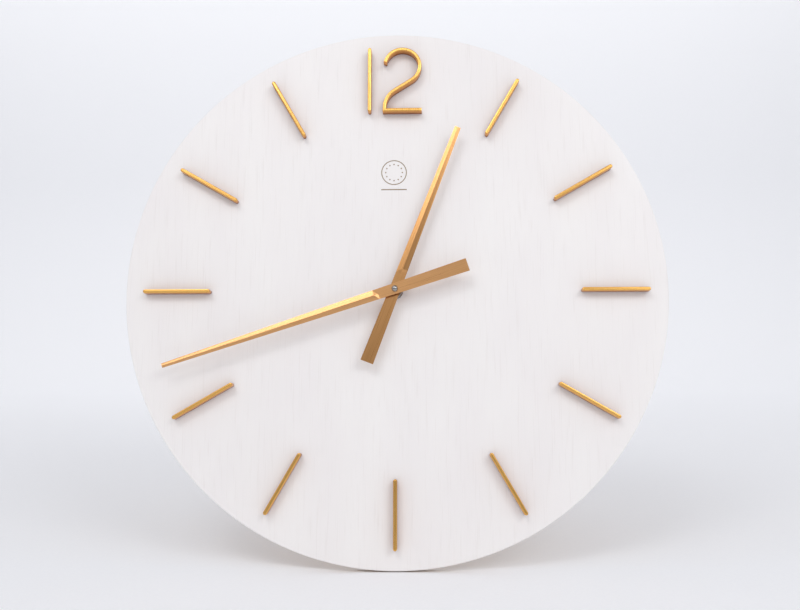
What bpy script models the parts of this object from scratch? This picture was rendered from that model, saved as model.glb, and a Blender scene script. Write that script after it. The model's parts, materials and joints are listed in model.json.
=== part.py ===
"""A 60 cm round wall clock: a veneered board with applied bar hour marks and a
numeral 12, two folded pointer hands, and a battery quartz movement behind it.

Run with: blender --background --python part.py

World frame: metres, +Z up, the dial faces -Y and the wall is the plane y = 0.
The origin is the nail that the clock hangs on. Every piece is a child of one
empty, whose own axes are x to the right, y up and z out of the wall, with its
origin where the hands' axis meets the wall. All heights below are distances
out of the wall, and all spots are places beside the hands' axis.
"""

import math

import bmesh
import bpy

MM = 0.001

# Driving dimensions, in metres.
DIAL_RADIUS = 300 * MM
NAIL_ABOVE_AXIS = 200 * MM
REST_MINUTES = 41.95  # minutes past twelve that the hands show

# Heights out of the wall.
BOARD_BACK = 13 * MM
BOARD_FRONT = 22 * MM
GLUE = 0.1 * MM
DIAL_FACE = 23 * MM
POCKET_FLOOR = 18.5 * MM
CASE_FRONT = 17.8 * MM
CASE_INNER = 16.6 * MM
CASE_REAR = 3 * MM
COVER_REAR = 1.7 * MM
BRIDGE_FRONT = 8.4 * MM
BRIDGE_REAR = 7.4 * MM
HOUR_HAND_BACK = DIAL_FACE + 14.2 * MM
MINUTE_HAND_BACK = DIAL_FACE + 19.2 * MM

# Hour marks and numeral.
BATON_INNER = 203.9 * MM
BATON_OUTER = 278.4 * MM
BATON_WIDTH = 4.2 * MM
MARK_HEIGHT = 11.4 * MM
MARK_ROUND = 1.1 * MM  # radius of a mark's long edges
NUMERAL_FOOT = 204.2 * MM
NUMERAL_TOP = 280.2 * MM
NUMERAL_STROKE = 4 * MM
ONE_CENTRE = -29 * MM

# Hands.
SHEET = 0.8 * MM
HUB_REACH = 19 * MM  # flat part of a hand between its axis and its fold
FOLD_RUN = 5 * MM
FOLD_SLOPE = 0.23

# The movement's case and battery bay, beside the hands' axis.
CASE_HALF = 28 * MM
CASE_CORNER = 3 * MM
CASE_WALL = 1.2 * MM
BAY_TOP = -11.9 * MM
GEAR_FLOOR = -10.9 * MM
BATTERY_RADIUS = 7.2 * MM
BATTERY_SPOT = (0, -19.4 * MM)
BATTERY_AXIS_HEIGHT = 9 * MM
BATTERY_LENGTH = 50.2 * MM

# The threaded stem, the knob's hole in the cover, and the posts inside the case,
# each as x, y and the height of its rear end. Three hold the bridge and two the
# circuit board.
STEM_RADIUS = 3.9 * MM
STEM_BORE = 2.8 * MM
STEM_END = DIAL_FACE + 4 * MM
COVER_HOLE = 5.6 * MM
POSTS = (
    (-16.2 * MM, 8.6 * MM, BRIDGE_FRONT),
    (13.0 * MM, -2.0 * MM, BRIDGE_FRONT),
    (13.0 * MM, 16.5 * MM, BRIDGE_FRONT),
    (-20.5 * MM, -6.8 * MM, 8.4 * MM),
    (20.5 * MM, -6.8 * MM, 8.4 * MM),
)

# The hanger plate on the board's back, and how far its screws stand from its middle.
HANGER_SCREW = 15 * MM
HANGER_FRONT = BOARD_BACK - GLUE
HANGER_REAR = HANGER_FRONT - 1.2 * MM

# Gear layers, as (low, high) heights.
HOUR_LAYER = (15.2 * MM, 16.2 * MM)
MOTION_LAYER = (13.8 * MM, 14.8 * MM)
CENTRE_LAYER = (12.6 * MM, 13.4 * MM)
THIRD_LAYER = (11.4 * MM, 12.2 * MM)
SECOND_LAYER = (10.2 * MM, 11.0 * MM)
FIRST_LAYER = (9.0 * MM, 9.8 * MM)

# Tooth counts. The rotor turns 1800 times for one turn of the centre wheel,
# and the minute arbor turns twelve times for one turn of the hour wheel.
CANNON_TEETH = 8
MOTION_TEETH = 24
MOTION_PINION_TEETH = 8
HOUR_TEETH = 32
KNOB_TEETH = 8
CENTRE_TEETH = 45
THIRD_PINION_TEETH = 6
THIRD_TEETH = 48
SECOND_PINION_TEETH = 6
SECOND_TEETH = 30
FIRST_PINION_TEETH = 6
FIRST_TEETH = 36
ROTOR_TEETH = 6

# Gear modules: pitch diameter over tooth count.
SETTING_MODULE = 0.45 * MM
CENTRE_MODULE = 0.373 * MM
TRAIN_MODULE = 0.32 * MM
ROTOR_MODULE = 0.24 * MM

ARBOR = 0.5 * MM
PIVOT_PLAY = 0.15 * MM
ROUND = 20  # facets on a small round piece
DIAL_FACETS = 180
WELD = 1e-6
OVERRUN = 1 * MM  # how far a cutter passes the wall that it cuts


def centre_distance(first_teeth, second_teeth, module):
    return module * (first_teeth + second_teeth) / 2


def step_from(spot, distance, degrees):
    """The place at a distance from a spot, in a direction counted from +x."""
    angle = math.radians(degrees)
    return (spot[0] + distance * math.cos(angle), spot[1] + distance * math.sin(angle))


# Directions from each axis to the next, in degrees from +x.
TO_MOTION, TO_KNOB = 160, 180
TO_THIRD, TO_SECOND, TO_FIRST, TO_ROTOR = 40, 100, 180, 175

# Each axis stands off the one before it by the centre distance of their gears.
MOTION_REACH = centre_distance(CANNON_TEETH, MOTION_TEETH, SETTING_MODULE)
KNOB_REACH = centre_distance(MOTION_TEETH, KNOB_TEETH, SETTING_MODULE)
THIRD_REACH = centre_distance(CENTRE_TEETH, THIRD_PINION_TEETH, CENTRE_MODULE)
SECOND_REACH = centre_distance(THIRD_TEETH, SECOND_PINION_TEETH, TRAIN_MODULE)
FIRST_REACH = centre_distance(SECOND_TEETH, FIRST_PINION_TEETH, TRAIN_MODULE)
ROTOR_REACH = centre_distance(FIRST_TEETH, ROTOR_TEETH, ROTOR_MODULE)

HANDS_SPOT = (0, 0)
MOTION_SPOT = step_from(HANDS_SPOT, MOTION_REACH, TO_MOTION)
KNOB_SPOT = step_from(MOTION_SPOT, KNOB_REACH, TO_KNOB)
THIRD_SPOT = step_from(HANDS_SPOT, THIRD_REACH, TO_THIRD)
SECOND_SPOT = step_from(THIRD_SPOT, SECOND_REACH, TO_SECOND)
FIRST_SPOT = step_from(SECOND_SPOT, FIRST_REACH, TO_FIRST)
ROTOR_SPOT = step_from(FIRST_SPOT, ROTOR_REACH, TO_ROTOR)

# The hour wheel shares the motion wheel's centre distance.
HOUR_MODULE = 2 * math.hypot(*MOTION_SPOT) / (MOTION_PINION_TEETH + HOUR_TEETH)


# --- scene -----------------------------------------------------------------

def clear_scene():
    for old in list(bpy.data.objects):
        bpy.data.objects.remove(old, do_unlink=True)


def new_collection(name):
    collection = bpy.data.collections.new(name)
    bpy.context.scene.collection.children.link(collection)
    return collection


def finish(name, colour, roughness, metallic=0.0):
    """A Principled BSDF material in one colour."""
    material = bpy.data.materials.new(name)
    material.use_nodes = True
    shader = material.node_tree.nodes["Principled BSDF"]
    shader.inputs["Base Color"].default_value = (*colour, 1)
    shader.inputs["Roughness"].default_value = roughness
    shader.inputs["Metallic"].default_value = metallic
    material.diffuse_color = (*colour, 1)
    return material


clear_scene()
PARTS = new_collection("wall_clock")
CUTTERS = new_collection("cutters")

AXIS = bpy.data.objects.new("hands_axis", None)
AXIS.location = (0, 0, -NAIL_ABOVE_AXIS)
AXIS.rotation_euler = (math.radians(90), 0, 0)
PARTS.objects.link(AXIS)

WHITE_VENEER = finish("white_lacquered_veneer", (0.86, 0.85, 0.83), 0.45)
MDF = finish("fibreboard", (0.45, 0.32, 0.19), 0.85)
GOLD = finish("gold_anodised_aluminium", (0.85, 0.55, 0.18), 0.3, 1.0)
HAND_GOLD = finish("champagne_anodised_aluminium", (0.62, 0.40, 0.20), 0.35, 1.0)
NICKEL = finish("nickel_plated_steel", (0.70, 0.69, 0.66), 0.2, 1.0)
BRASS = finish("turned_brass", (0.78, 0.57, 0.22), 0.3, 1.0)
STEEL = finish("zinc_plated_steel", (0.60, 0.61, 0.62), 0.4, 1.0)
RUBBER = finish("black_rubber", (0.02, 0.02, 0.02), 0.8)
BLACK_PLASTIC = finish("black_abs", (0.015, 0.015, 0.016), 0.45)
WHEEL_PLASTIC = finish("natural_acetal", (0.80, 0.78, 0.70), 0.4)
KNOB_PLASTIC = finish("grey_acetal", (0.30, 0.30, 0.31), 0.4)
MAGNET = finish("sintered_ferrite", (0.05, 0.05, 0.055), 0.5)
CORE_STEEL = finish("transformer_steel", (0.42, 0.42, 0.43), 0.4, 1.0)
BOBBIN_PLASTIC = finish("ivory_nylon", (0.75, 0.70, 0.55), 0.5)
COPPER = finish("enamelled_copper_wire", (0.65, 0.24, 0.10), 0.35, 1.0)
BOARD_GREEN = finish("solder_masked_board", (0.03, 0.18, 0.08), 0.4)
BATTERY_SKIN = finish("printed_battery_sleeve", (0.06, 0.09, 0.14), 0.35)


# --- outlines --------------------------------------------------------------

def circle(radius, facets=ROUND, spot=(0, 0)):
    angles = [2 * math.pi * k / facets for k in range(facets)]
    return [(spot[0] + radius * math.cos(a), spot[1] + radius * math.sin(a)) for a in angles]


def rectangle(left, bottom, right, top):
    return [(left, bottom), (right, bottom), (right, top), (left, top)]


def rounded_rectangle(left, bottom, right, top, corner, steps=4):
    """A rectangle whose four corners are quarter circles."""
    points = []
    centres = (
        (right - corner, top - corner),
        (left + corner, top - corner),
        (left + corner, bottom + corner),
        (right - corner, bottom + corner),
    )
    for quarter, (x, y) in enumerate(centres):
        for step in range(steps + 1):
            angle = math.pi / 2 * (quarter + step / steps)
            points.append((x + corner * math.cos(angle), y + corner * math.sin(angle)))
    return points


def stroke_outline(path, width):
    """The outline of a stroke of even width along a path, with mitred corners and square ends."""
    sides = ([], [])
    for index, (x, y) in enumerate(path):
        before = path[max(index - 1, 0)]
        after = path[min(index + 1, len(path) - 1)]
        arriving = math.atan2(y - before[1], x - before[0]) if index else None
        leaving = math.atan2(after[1] - y, after[0] - x) if index < len(path) - 1 else arriving
        if arriving is None:
            arriving = leaving
        turn = (leaving - arriving + math.pi) % (2 * math.pi) - math.pi
        normal = arriving + turn / 2 + math.pi / 2
        reach = width / 2 / math.cos(turn / 2)
        for side, sign in zip(sides, (1, -1)):
            side.append((x + sign * reach * math.cos(normal), y + sign * reach * math.sin(normal)))
    return sides[0] + sides[1][::-1]


def arc(centre, radius, start, end, steps):
    """Points along an arc, from one angle to another in degrees."""
    points = []
    for step in range(steps + 1):
        angle = math.radians(start + (end - start) * step / steps)
        points.append((centre[0] + radius * math.cos(angle), centre[1] + radius * math.sin(angle)))
    return points


def tooth_outline(teeth, module, phase, leaves):
    """A gear's outline. A tooth centre stands at the phase angle. Leaves are the
    thin rounded teeth of a pinion, and the others are a wheel's straight ones."""
    pitch = module * teeth / 2
    half = (0.38 if leaves else 0.42) * math.pi / teeth
    if leaves:
        root, tip = pitch - 1.15 * module, pitch + 0.7 * module
        flank = [(root, half), (pitch, half), (tip, 0.55 * half)]
    else:
        root, tip = pitch - 1.1 * module, pitch + 0.85 * module
        flank = [(root, 1.5 * half), (tip, 0.5 * half)]
    points = []
    for tooth in range(teeth):
        middle = phase + 2 * math.pi * tooth / teeth
        rising = [(radius, middle - width) for radius, width in flank]
        falling = [(radius, middle + width) for radius, width in reversed(flank)]
        points += [(r * math.cos(a), r * math.sin(a)) for r, a in rising + falling]
    return points


def meshing_phase(teeth, driver_teeth, driver_phase, degrees):
    """The phase that puts a gear's space opposite its driver's tooth, where the
    driver stands at the far end of a line that leaves it at this angle."""
    line = math.radians(degrees)
    share = (driver_phase - line) * driver_teeth / (2 * math.pi)
    return line + math.pi + 2 * math.pi / teeth * (0.5 - share)


# --- solids ----------------------------------------------------------------

def place(piece, name, material, spot, height, collection):
    piece.name = name
    piece.parent = AXIS
    piece.location = (*spot, height)
    piece.data.materials.clear()
    if material:
        piece.data.materials.append(material)
    for other in list(piece.users_collection):
        other.objects.unlink(piece)
    collection.objects.link(piece)
    if collection is CUTTERS:
        piece.hide_render = True
        piece.display_type = "WIRE"
    return piece


def plate(
    name, outlines, low, high, material=None, spot=(0, 0), bevel=0.0, bevel_steps=0, collection=None,
):
    """A flat piece from low to high with the first outline's edge and holes from
    the others, as a mesh with its caps welded on. Its edges may be bevelled, and
    more bevel steps make them rounder."""
    curve = bpy.data.curves.new(name, "CURVE")
    curve.dimensions = "2D"
    curve.fill_mode = "BOTH"
    curve.extrude = (high - low) / 2 - bevel
    curve.bevel_depth = bevel
    curve.bevel_resolution = bevel_steps
    curve.offset = -bevel
    for outline in outlines:
        spline = curve.splines.new("POLY")
        spline.points.add(len(outline) - 1)
        for point, (x, y) in zip(spline.points, outline):
            point.co = (x, y, 0, 1)
        spline.use_cyclic_u = True
    drawn = bpy.data.objects.new(name + "_outline", curve)
    bpy.context.scene.collection.objects.link(drawn)
    bpy.context.view_layer.update()
    graph = bpy.context.evaluated_depsgraph_get()
    mesh = bpy.data.meshes.new_from_object(drawn.evaluated_get(graph))
    bpy.data.objects.remove(drawn)
    work = bmesh.new()
    work.from_mesh(mesh)
    bmesh.ops.remove_doubles(work, verts=work.verts, dist=WELD)
    bmesh.ops.recalc_face_normals(work, faces=work.faces)
    work.to_mesh(mesh)
    work.free()
    piece = bpy.data.objects.new(name, mesh)
    return place(piece, name, material, spot, (low + high) / 2, collection or PARTS)


def turned(name, profile, material=None, spot=(0, 0), facets=ROUND, ring=False, collection=None):
    """A turned piece. The profile holds (radius, height) points that run down the
    outer side, from the axis to the axis, or all round the section of a ring."""
    mesh = bpy.data.meshes.new(name)
    work = bmesh.new()
    corners = [work.verts.new((radius, 0, height)) for radius, height in profile]
    for first, second in zip(corners, corners[1:] + corners[:1] if ring else corners[1:]):
        work.edges.new((first, second))
    work.to_mesh(mesh)
    work.free()
    piece = bpy.data.objects.new(name, mesh)
    place(piece, name, material, spot, 0, collection or PARTS)
    screw = piece.modifiers.new("turn", "SCREW")
    screw.steps = facets
    screw.render_steps = facets
    screw.use_merge_vertices = True
    screw.merge_threshold = WELD
    screw.use_smooth_shade = True
    return piece


def rod(name, low, high, radius, material=None, spot=(0, 0), facets=ROUND, collection=None):
    """A plain cylinder whose axis points out of the wall."""
    profile = [(0, high), (radius, high), (radius, low), (0, low)]
    return turned(name, profile, material, spot, facets, collection=collection)


def block(name, corner, far_corner, material=None, collection=None):
    """A box between two opposite corners, each x, y and height."""
    work = bmesh.new()
    bmesh.ops.create_cube(work, size=1)
    size = [b - a for a, b in zip(corner, far_corner)]
    bmesh.ops.scale(work, vec=size, verts=work.verts)
    mesh = bpy.data.meshes.new(name)
    work.to_mesh(mesh)
    work.free()
    middle = [(a + b) / 2 for a, b in zip(corner, far_corner)]
    piece = bpy.data.objects.new(name, mesh)
    return place(piece, name, material, middle[:2], middle[2], collection or PARTS)


def combine(piece, helpers, operation):
    """Cut the helpers from a piece, or join them to it, and keep them as cutters."""
    for helper in helpers:
        if helper.name in PARTS.objects:
            PARTS.objects.unlink(helper)
            CUTTERS.objects.link(helper)
        helper.hide_render = True
        helper.display_type = "WIRE"
        boolean = piece.modifiers.new(helper.name, "BOOLEAN")
        boolean.operation = operation
        boolean.solver = "EXACT"
        boolean.object = helper
    return piece


def cut(piece, *helpers):
    return combine(piece, helpers, "DIFFERENCE")


def join(piece, *helpers):
    return combine(piece, helpers, "UNION")


def gear(name, spot, layer, teeth, module, phase, leaves=False, bore=0.0, overlap=0.0):
    """A toothed disc, used to build a wheel. Overlap lengthens it into its neighbour."""
    outlines = [tooth_outline(teeth, module, phase, leaves)]
    if bore:
        outlines.append(circle(bore, 16))
    return plate(name, outlines, layer[0] - overlap, layer[1], spot=spot, collection=CUTTERS)


# --- dial ------------------------------------------------------------------

def make_dial():
    shaft_hole = 4.5 * MM
    edge = circle(DIAL_RADIUS - 0.5 * MM, DIAL_FACETS)
    board = plate("dial_board", [edge], BOARD_BACK, BOARD_FRONT, MDF)
    pocket = 31 * MM
    below = BOARD_BACK - OVERRUN
    cut(
        board,
        block(
            "pocket_cutter",
            (-pocket, -pocket, below), (pocket, pocket, POCKET_FLOOR), collection=CUTTERS,
        ),
        rod("shaft_cutter", below, BOARD_FRONT + OVERRUN, shaft_hole, collection=CUTTERS),
        plate(
            "nail_head_cutter",
            [rounded_rectangle(-7 * MM, -15 * MM, 7 * MM, 9 * MM, 6.9 * MM)],
            below, 19 * MM, spot=(0, NAIL_ABOVE_AXIS), collection=CUTTERS,
        ),
    )
    for side, x in (("left", -HANGER_SCREW), ("right", HANGER_SCREW)):
        spot = (x, NAIL_ABOVE_AXIS - 3 * MM)
        pilot = rod(
            "pilot_cutter_" + side, below, 19.5 * MM, 1.7 * MM, spot=spot, facets=12,
            collection=CUTTERS,
        )
        cut(board, pilot)

    chamfer = 0.6 * MM
    back = BOARD_FRONT + GLUE
    turned(
        "dial_veneer",
        [
            (shaft_hole, DIAL_FACE),
            (DIAL_RADIUS - chamfer, DIAL_FACE),
            (DIAL_RADIUS, DIAL_FACE - chamfer),
            (DIAL_RADIUS, back),
            (shaft_hole, back),
        ],
        WHITE_VENEER, facets=DIAL_FACETS, ring=True,
    )


def bar(name, low_end, high_end, width, turn, x=0.0):
    """A raised bar with rounded ends, standing on the dial along a radius."""
    end = width / 2 * 0.98
    outline = rounded_rectangle(x - width / 2, low_end, x + width / 2, high_end, end, 3)
    foot = DIAL_FACE + GLUE
    piece = plate(name, [outline], foot, DIAL_FACE + MARK_HEIGHT, GOLD, bevel=MARK_ROUND, bevel_steps=2)
    piece.rotation_euler = (0, 0, -turn)
    return piece


def make_hour_marks():
    for hour in range(1, 12):
        bar(f"hour_baton_{hour:02d}", BATON_INNER, BATON_OUTER, BATON_WIDTH, math.radians(30 * hour))
    bar("numeral_one", NUMERAL_FOOT, NUMERAL_TOP, NUMERAL_STROKE, 0, ONE_CENTRE)

    # The 2 is one stroke: a hook round its bowl, a straight slope, a smaller bend
    # that drops to the foot, and the foot itself.
    bowl = (8.2 * MM, NUMERAL_TOP - 2 * MM - 19.8 * MM)
    bowl_radius = 19.8 * MM
    slope_angle = -58
    hook = arc(bowl, bowl_radius, 168, slope_angle, 22)
    bend_radius = 24.9 * MM
    slope_end = (-0.4 * MM, 229.6 * MM)
    bend_centre = step_from(slope_end, bend_radius, slope_angle)
    bend = arc(bend_centre, bend_radius, 180 + slope_angle, 180, 8)
    foot_height = NUMERAL_FOOT + NUMERAL_STROKE / 2
    foot = [(bend[-1][0], foot_height), (30 * MM, foot_height)]
    outline = stroke_outline(hook + bend + foot, NUMERAL_STROKE)
    plate(
        "numeral_two", [outline], DIAL_FACE + GLUE, DIAL_FACE + MARK_HEIGHT, GOLD,
        bevel=MARK_ROUND, bevel_steps=2,
    )


# --- hands -----------------------------------------------------------------

def folded_hand(name, back, tip, tail, tip_width, tail_width, hole):
    """A pressed sheet hand: flat from its tail to past its hub, then folded along
    its middle into a ridge that runs to the tip. It lies along +y at noon."""
    work = bmesh.new()
    stations = [-tail, -HUB_REACH, 0, HUB_REACH, HUB_REACH + FOLD_RUN, tip]
    rows = []
    for y in stations:
        half = (tail_width + (tip_width - tail_width) * (y + tail) / (tip + tail)) / 2
        ridge = FOLD_SLOPE * half if y > HUB_REACH else 0
        row = [(-half, y, 0), (0, y, ridge), (half, y, 0)]
        rows.append([work.verts.new(point) for point in row])
    for lower, upper in zip(rows, rows[1:]):
        for side in (0, 1):
            work.faces.new((lower[side], lower[side + 1], upper[side + 1], upper[side]))
    mesh = bpy.data.meshes.new(name)
    work.to_mesh(mesh)
    work.free()
    hand = place(bpy.data.objects.new(name, mesh), name, HAND_GOLD, HANDS_SPOT, back, PARTS)
    skin = hand.modifiers.new("sheet", "SOLIDIFY")
    skin.thickness = SHEET
    skin.offset = 1
    cut(hand, rod(name + "_hole_cutter", back - OVERRUN, back + SHEET + OVERRUN, hole, collection=CUTTERS))
    return hand


def make_hands():
    hour_turn = -math.radians(REST_MINUTES / 2)
    minute_turn = -math.radians(REST_MINUTES * 6)
    hour = folded_hand(
        "hour_hand", HOUR_HAND_BACK, 196.5 * MM, 85 * MM, 6.4 * MM, 14.5 * MM, 3.3 * MM
    )
    hour.rotation_euler = (0, 0, hour_turn)
    minute = folded_hand(
        "minute_hand", MINUTE_HAND_BACK, 265 * MM, 83.6 * MM, 4.6 * MM, 14.3 * MM, 2.6 * MM
    )
    minute.rotation_euler = (0, 0, minute_turn)

    hour_front = HOUR_HAND_BACK + SHEET
    turned(
        "hour_hand_bush",
        [
            (2.7 * MM, hour_front + 0.3 * MM),
            (3.0 * MM, hour_front + 0.3 * MM),
            (3.0 * MM, HOUR_HAND_BACK - GLUE),
            (5.0 * MM, HOUR_HAND_BACK - GLUE),
            (5.0 * MM, HOUR_HAND_BACK - 0.8 * MM),
            (3.6 * MM, HOUR_HAND_BACK - 0.8 * MM),
            (3.6 * MM, HOUR_HAND_BACK - 3.5 * MM),
            (2.7 * MM, HOUR_HAND_BACK - 3.5 * MM),
        ],
        BRASS, ring=True,
    )
    minute_front = MINUTE_HAND_BACK + SHEET
    turned(
        "minute_hand_bush",
        [
            (1.8 * MM, minute_front),
            (2.3 * MM, minute_front),
            (2.3 * MM, MINUTE_HAND_BACK - GLUE),
            (4.0 * MM, MINUTE_HAND_BACK - GLUE),
            (4.0 * MM, MINUTE_HAND_BACK - 0.8 * MM),
            (3.0 * MM, MINUTE_HAND_BACK - 0.8 * MM),
            (3.0 * MM, MINUTE_HAND_BACK - 2.4 * MM),
            (1.8 * MM, MINUTE_HAND_BACK - 2.4 * MM),
        ],
        BRASS, ring=True,
    )
    nut_foot = minute_front + GLUE
    dome = 2.4 * MM
    skirt = 0.7 * MM
    nut_radius = 3.5 * MM
    cap = [
        (nut_radius * math.sin(math.radians(a)), nut_foot + skirt + dome * math.cos(math.radians(a)))
        for a in range(0, 91, 15)
    ]
    bore = 1.4 * MM
    bore_top = nut_foot + 2.1 * MM
    inside = [(nut_radius, nut_foot), (bore, nut_foot), (bore, bore_top), (0, bore_top)]
    turned("hand_nut", cap + inside, NICKEL)


# --- fixing of the movement -------------------------------------------------

def make_movement_fixing():
    turned(
        "movement_gasket",
        [
            (12 * MM, POCKET_FLOOR - GLUE),
            (12 * MM, CASE_FRONT + GLUE),
            (4.4 * MM, CASE_FRONT + GLUE),
            (4.4 * MM, POCKET_FLOOR - GLUE),
        ],
        RUBBER, ring=True,
    )
    washer_front = DIAL_FACE + 0.6 * MM
    bore = 4.2 * MM
    turned(
        "bush_washer",
        [
            (bore, washer_front),
            (8.6 * MM, washer_front),
            (8.6 * MM, DIAL_FACE + GLUE),
            (bore, DIAL_FACE + GLUE),
        ],
        NICKEL, ring=True,
    )
    across_flats = 14 * MM
    corner_radius = across_flats / 2 / math.cos(math.radians(30))
    flat_direction = math.radians(-41)
    hexagon = [
        (corner_radius * math.cos(a), corner_radius * math.sin(a))
        for a in (flat_direction + math.radians(30 + 60 * k) for k in range(6))
    ]
    plate(
        "bush_nut", [hexagon, circle(bore)], washer_front + GLUE, washer_front + 2.5 * MM, NICKEL,
        bevel=0.25 * MM,
    )


# --- movement ---------------------------------------------------------------

def make_case():
    inner = CASE_HALF - CASE_WALL
    outline = rounded_rectangle(-CASE_HALF, -CASE_HALF, CASE_HALF, CASE_HALF, CASE_CORNER)
    case = plate("movement_case", [outline], CASE_REAR, CASE_FRONT, BLACK_PLASTIC)
    below = CASE_REAR - OVERRUN
    slot = 25.2 * MM
    rooms = [
        block(
            "gear_room_cutter",
            (-inner, GEAR_FLOOR, below), (inner, inner, CASE_INNER), collection=CUTTERS,
        ),
        block(
            "battery_bay_cutter",
            (-inner, -inner, below), (inner, BAY_TOP, CASE_INNER), collection=CUTTERS,
        ),
    ]
    for side, low, high in (("left", -inner, -slot), ("right", slot, inner)):
        corner = (low, BAY_TOP - OVERRUN, below)
        far_corner = (high, GEAR_FLOOR + OVERRUN, CASE_INNER - 3 * MM)
        rooms.append(block(f"contact_slot_cutter_{side}", corner, far_corner, collection=CUTTERS))
    cut(case, *rooms)
    inside_wall = (CASE_INNER + CASE_FRONT) / 2
    posts = [
        rod(
            f"post_{k}", rear + GLUE, inside_wall, 1.25 * MM, spot=(x, y), facets=12,
            collection=CUTTERS,
        )
        for k, (x, y, rear) in enumerate(POSTS, 1)
    ]
    motion_stud = rod(
        "motion_stud", MOTION_LAYER[0] + 0.1 * MM, inside_wall, 0.6 * MM, spot=MOTION_SPOT, facets=12,
        collection=CUTTERS,
    )
    stem = rod("stem", inside_wall, STEM_END, STEM_RADIUS, collection=CUTTERS)
    join(case, *posts, motion_stud, stem)
    below, above = CASE_INNER - OVERRUN, STEM_END + OVERRUN
    cut(case, rod("stem_bore_cutter", below, above, STEM_BORE, collection=CUTTERS))
    for label, spot in pivots():
        if spot != HANDS_SPOT:
            cut(case, pivot_hole("case_pivot_" + label, spot, below, CASE_INNER + 0.7 * MM))


def pivots():
    return (
        ("minute", HANDS_SPOT),
        ("knob", KNOB_SPOT),
        ("third", THIRD_SPOT),
        ("second", SECOND_SPOT),
        ("first", FIRST_SPOT),
        ("rotor", ROTOR_SPOT),
    )


def pivot_hole(name, spot, low, high):
    radius = 1.0 * MM if spot == KNOB_SPOT else ARBOR + PIVOT_PLAY
    return rod(name, low, high, radius, spot=spot, facets=12, collection=CUTTERS)


def make_bridge_and_cover():
    outline = rounded_rectangle(-18.2 * MM, -2.8 * MM, 15 * MM, 18.4 * MM, 1.8 * MM)
    bridge = plate("train_bridge", [outline], BRIDGE_REAR, BRIDGE_FRONT, BLACK_PLASTIC)
    below, above = BRIDGE_REAR - OVERRUN, BRIDGE_FRONT + OVERRUN
    for label, spot in pivots():
        cut(bridge, pivot_hole("bridge_pivot_" + label, spot, below, above))

    outline = rounded_rectangle(-CASE_HALF, GEAR_FLOOR, CASE_HALF, CASE_HALF, CASE_CORNER)
    knob_hole = circle(COVER_HOLE, ROUND, KNOB_SPOT)
    plate("movement_cover", [outline, knob_hole], COVER_REAR, CASE_REAR - GLUE, BLACK_PLASTIC)


def make_motion_work():
    """The wheels that carry the hands, and the knob that sets them."""
    arbor_front = MINUTE_HAND_BACK + SHEET + 1.9 * MM
    arbor = turned(
        "minute_arbor",
        [
            (0, arbor_front),
            (1.2 * MM, arbor_front),
            (1.2 * MM, MINUTE_HAND_BACK + SHEET - GLUE),
            (1.6 * MM, MINUTE_HAND_BACK + SHEET - GLUE),
            (1.6 * MM, HOUR_LAYER[0] + GLUE),
            (1.2 * MM, HOUR_LAYER[0] + GLUE),
            (1.2 * MM, CENTRE_LAYER[1] + 0.25 * MM),
            (1.0 * MM, CENTRE_LAYER[1] + 0.25 * MM),
            (1.0 * MM, BRIDGE_FRONT + 0.3 * MM),
            (ARBOR, BRIDGE_FRONT + 0.3 * MM),
            (ARBOR, BRIDGE_REAR),
            (0, BRIDGE_REAR),
        ],
        BRASS,
    )
    cannon = gear(
        "cannon_pinion", HANDS_SPOT, MOTION_LAYER, CANNON_TEETH, SETTING_MODULE, 0, leaves=True,
    )
    join(arbor, cannon)

    motion_phase = meshing_phase(MOTION_TEETH, CANNON_TEETH, 0, TO_MOTION)
    stud_bore = 0.8 * MM
    motion_pinion = gear(
        "motion_pinion", MOTION_SPOT, HOUR_LAYER, MOTION_PINION_TEETH, HOUR_MODULE, 0,
        leaves=True, bore=stud_bore, overlap=0.9 * MM,
    )
    motion = plate(
        "motion_wheel",
        [tooth_outline(MOTION_TEETH, SETTING_MODULE, motion_phase, False), circle(stud_bore, 16)],
        *MOTION_LAYER, WHEEL_PLASTIC, spot=MOTION_SPOT,
    )
    join(motion, motion_pinion)

    tube_end = HOUR_HAND_BACK + SHEET + 0.4 * MM
    hour = turned(
        "hour_wheel",
        [
            (1.8 * MM, tube_end),
            (2.5 * MM, tube_end),
            (2.5 * MM, HOUR_LAYER[0]),
            (1.8 * MM, HOUR_LAYER[0]),
        ],
        WHEEL_PLASTIC, ring=True,
    )
    hour_phase = meshing_phase(HOUR_TEETH, MOTION_PINION_TEETH, 0, TO_MOTION + 180)
    rim = (HOUR_LAYER[0] + 0.05 * MM, HOUR_LAYER[1])
    teeth = gear("hour_teeth", HANDS_SPOT, rim, HOUR_TEETH, HOUR_MODULE, hour_phase, bore=2.1 * MM)
    join(hour, teeth)

    knob_radius = 5 * MM
    knob_front = CASE_REAR + 0.3 * MM
    knob = turned(
        "set_knob",
        [
            (0, CASE_INNER + 0.5 * MM),
            (0.8 * MM, CASE_INNER + 0.5 * MM),
            (0.8 * MM, knob_front),
            (knob_radius, knob_front),
            (knob_radius, 0.8 * MM),
            (knob_radius - 0.6 * MM, 0.5 * MM),
            (0, 0.5 * MM),
        ],
        KNOB_PLASTIC, spot=KNOB_SPOT,
    )
    knob_phase = meshing_phase(KNOB_TEETH, MOTION_TEETH, motion_phase, TO_KNOB)
    knob_pinion = gear(
        "knob_pinion", KNOB_SPOT, MOTION_LAYER, KNOB_TEETH, SETTING_MODULE, knob_phase, leaves=True,
    )
    join(knob, knob_pinion)


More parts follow.
